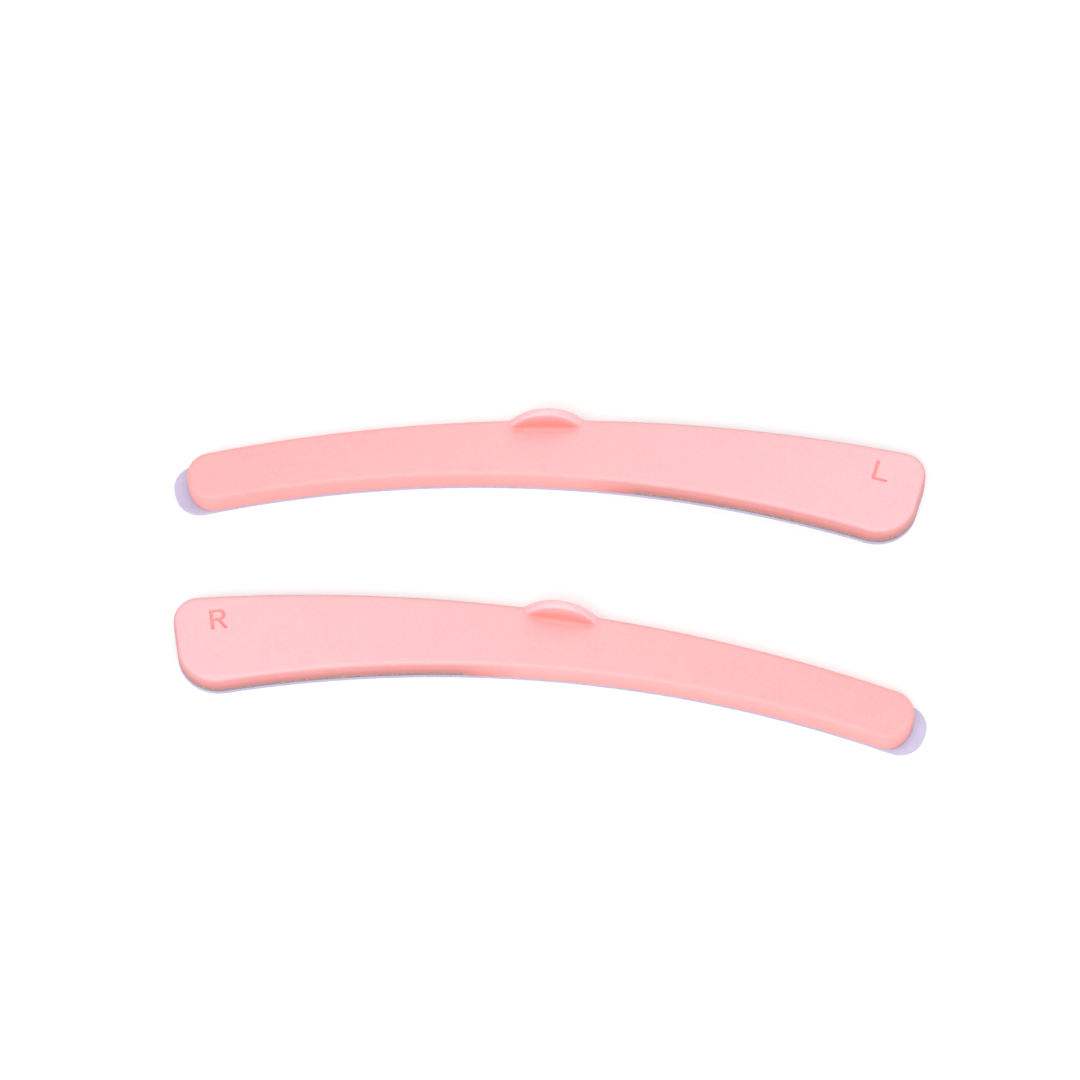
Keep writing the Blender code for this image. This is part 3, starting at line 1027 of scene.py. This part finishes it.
STAGE_SIDE = 0.5
FLOOR_DROP = 0.01 * MM
FLOOR_COLOUR = (0.97, 0.97, 0.97)
FLOOR_ROUGHNESS = 0.9
SENSOR = 36.0
CLIP_START = 0.01
CLIP_END = 10.0
# Direction from the strips (X, Y, Z), size and distance in metres, and share of the key level.
LAMPS = {
    "key": ((-0.2, -0.85, 1.0), 0.4, 0.5, 1.0),
    "fill": ((0.5, 0.6, 1.0), 0.5, 0.6, 0.35),
}


class LASH_OT_stage(bpy.types.Operator):
    """Set the floor, the lamps, the world and the camera"""

    bl_idname = "lash.stage"
    bl_label = "Stage"

    def execute(self, context):
        stage = context.scene.lash_stage
        add_floor()
        for name, (towards, size, distance, share) in LAMPS.items():
            add_lamp(name, np.array(towards), size, distance, share * stage.key_level)
        set_world(context.scene, stage.world_level)
        add_camera(context.scene, stage)
        context.scene.view_settings.view_transform = "Standard"
        return {"FINISHED"}


def seen_directly(tree):
    """1 on camera, glossy and transmission rays, and 0 on the rest."""
    path = add_node(tree, "ShaderNodeLightPath", (-600, 500))
    seen = add_node(tree, "ShaderNodeMath", (-400, 500), operation="MAXIMUM")
    through = add_node(tree, "ShaderNodeMath", (-200, 500), operation="MAXIMUM")
    tree.links.new(path.outputs["Is Camera Ray"], seen.inputs[0])
    tree.links.new(path.outputs["Is Glossy Ray"], seen.inputs[1])
    tree.links.new(seen.outputs["Value"], through.inputs[0])
    tree.links.new(path.outputs["Is Transmission Ray"], through.inputs[1])
    return through.outputs["Value"]


def add_floor():
    """Plain pale floor just below the films, which keeps a faint shadow."""
    half = STAGE_SIDE / 2
    corners = [(-half, -half), (half, -half), (half, half), (-half, half)]
    mesh = bpy.data.meshes.new("floor")
    mesh.from_pydata([(x, y, -FLOOR_DROP) for x, y in corners], [], [(0, 1, 2, 3)])
    floor = bpy.data.objects.new("floor", mesh)
    bpy.context.scene.collection.objects.link(floor)
    made = bpy.data.materials.new("pale_floor")
    made.use_nodes = True
    shader = made.node_tree.nodes["Principled BSDF"]
    shader.inputs["Base Color"].default_value = (*FLOOR_COLOUR, 1.0)
    shader.inputs["Roughness"].default_value = FLOOR_ROUGHNESS
    shader.inputs["Specular IOR Level"].default_value = 0.0
    mesh.materials.append(made)


def add_lamp(name, towards, size, distance, level):
    """Square lamp facing the origin, where a matt white face turned to it shows this level.

    A lamp of power P lights a face at distance d by P / (pi d^2), of which white shows 1 / pi.
    """
    direction = towards / np.linalg.norm(towards)
    lamp = bpy.data.lights.new(name, "AREA")
    lamp.size = size
    lamp.energy = level * math.pi**2 * distance**2
    made = bpy.data.objects.new(name, lamp)
    bpy.context.scene.collection.objects.link(made)
    made.location = direction * distance
    made.rotation_euler = aimed(-direction).to_euler()


def aimed(direction):
    """Turn of a lamp or camera that looks this way, with Y up in its view."""
    return Vector(direction).to_track_quat("-Z", "Y")


def set_world(scene, level):
    """Even white world, plain white where the camera and reflections see it."""
    world = bpy.data.worlds.new("studio")
    scene.world = world
    world.use_nodes = True
    tree = world.node_tree
    background = tree.nodes["Background"]
    background.inputs["Color"].default_value = (1.0, 1.0, 1.0, 1.0)
    strength = ranged(tree, seen_directly(tree), UNIT, (level, 1.0), (0, 500))
    tree.links.new(strength, background.inputs["Strength"])


def add_camera(scene, stage):
    """Long-lens camera in front of the strips, framed on them."""
    camera = bpy.data.cameras.new("view")
    camera.sensor_width = SENSOR
    camera.lens = stage.lens
    made = bpy.data.objects.new("view", camera)
    scene.collection.objects.link(made)
    back = np.array([0.0, -math.cos(stage.elevation), math.sin(stage.elevation)])
    up = np.array([0.0, math.sin(stage.elevation), math.cos(stage.elevation)])
    target = stage.aim_side * np.array([1.0, 0.0, 0.0]) + stage.aim_up * up
    distance = stage.view_width * stage.lens / SENSOR
    made.location = target + back * distance
    made.rotation_euler = aimed(-back).to_euler()
    camera.clip_start = CLIP_START
    camera.clip_end = CLIP_END
    scene.camera = made


class LASH_PT_panel(bpy.types.Panel):
    """Lists the pieces of the strips"""

    bl_idname = "LASH_PT_panel"
    bl_label = "Lash Strips"
    bl_space_type = "VIEW_3D"
    bl_region_type = "UI"
    bl_category = "Lash Strips"

    def draw(self, context):
        column = self.layout.column()
        for operator in OPERATORS:
            column.operator(operator.bl_idname)
        for group in GROUPS:
            settings = getattr(context.scene, group)
            for key in settings.bl_rna.properties.keys():
                if key not in {"rna_type", "name"}:
                    column.prop(settings, key)


GROUPS = {
    "lash_strip": LashStripShape,
    "lash_fin": LashFinShape,
    "lash_letter": LashLetterShape,
    "lash_layers": LashLayerShape,
    "lash_finish": LashFinish,
    "lash_stage": LashStage,
}
OPERATORS = (
    LASH_OT_silicone_strips,
    LASH_OT_adhesive_patches,
    LASH_OT_release_films,
    LASH_OT_stage,
)


def register():
    for made in (*GROUPS.values(), *OPERATORS, LASH_PT_panel):
        bpy.utils.register_class(made)
    for name, group in GROUPS.items():
        setattr(bpy.types.Scene, name, PointerProperty(type=group))


def unregister():
    for name in GROUPS:
        delattr(bpy.types.Scene, name)
    for made in reversed((*GROUPS.values(), *OPERATORS, LASH_PT_panel)):
        bpy.utils.unregister_class(made)


def main():
    register()
    bpy.ops.lash.silicone_strips()
    bpy.ops.lash.adhesive_patches()
    bpy.ops.lash.release_films()
    bpy.ops.lash.stage()
    bpy.context.view_layer.update()


if __name__ == "__main__":
    main()
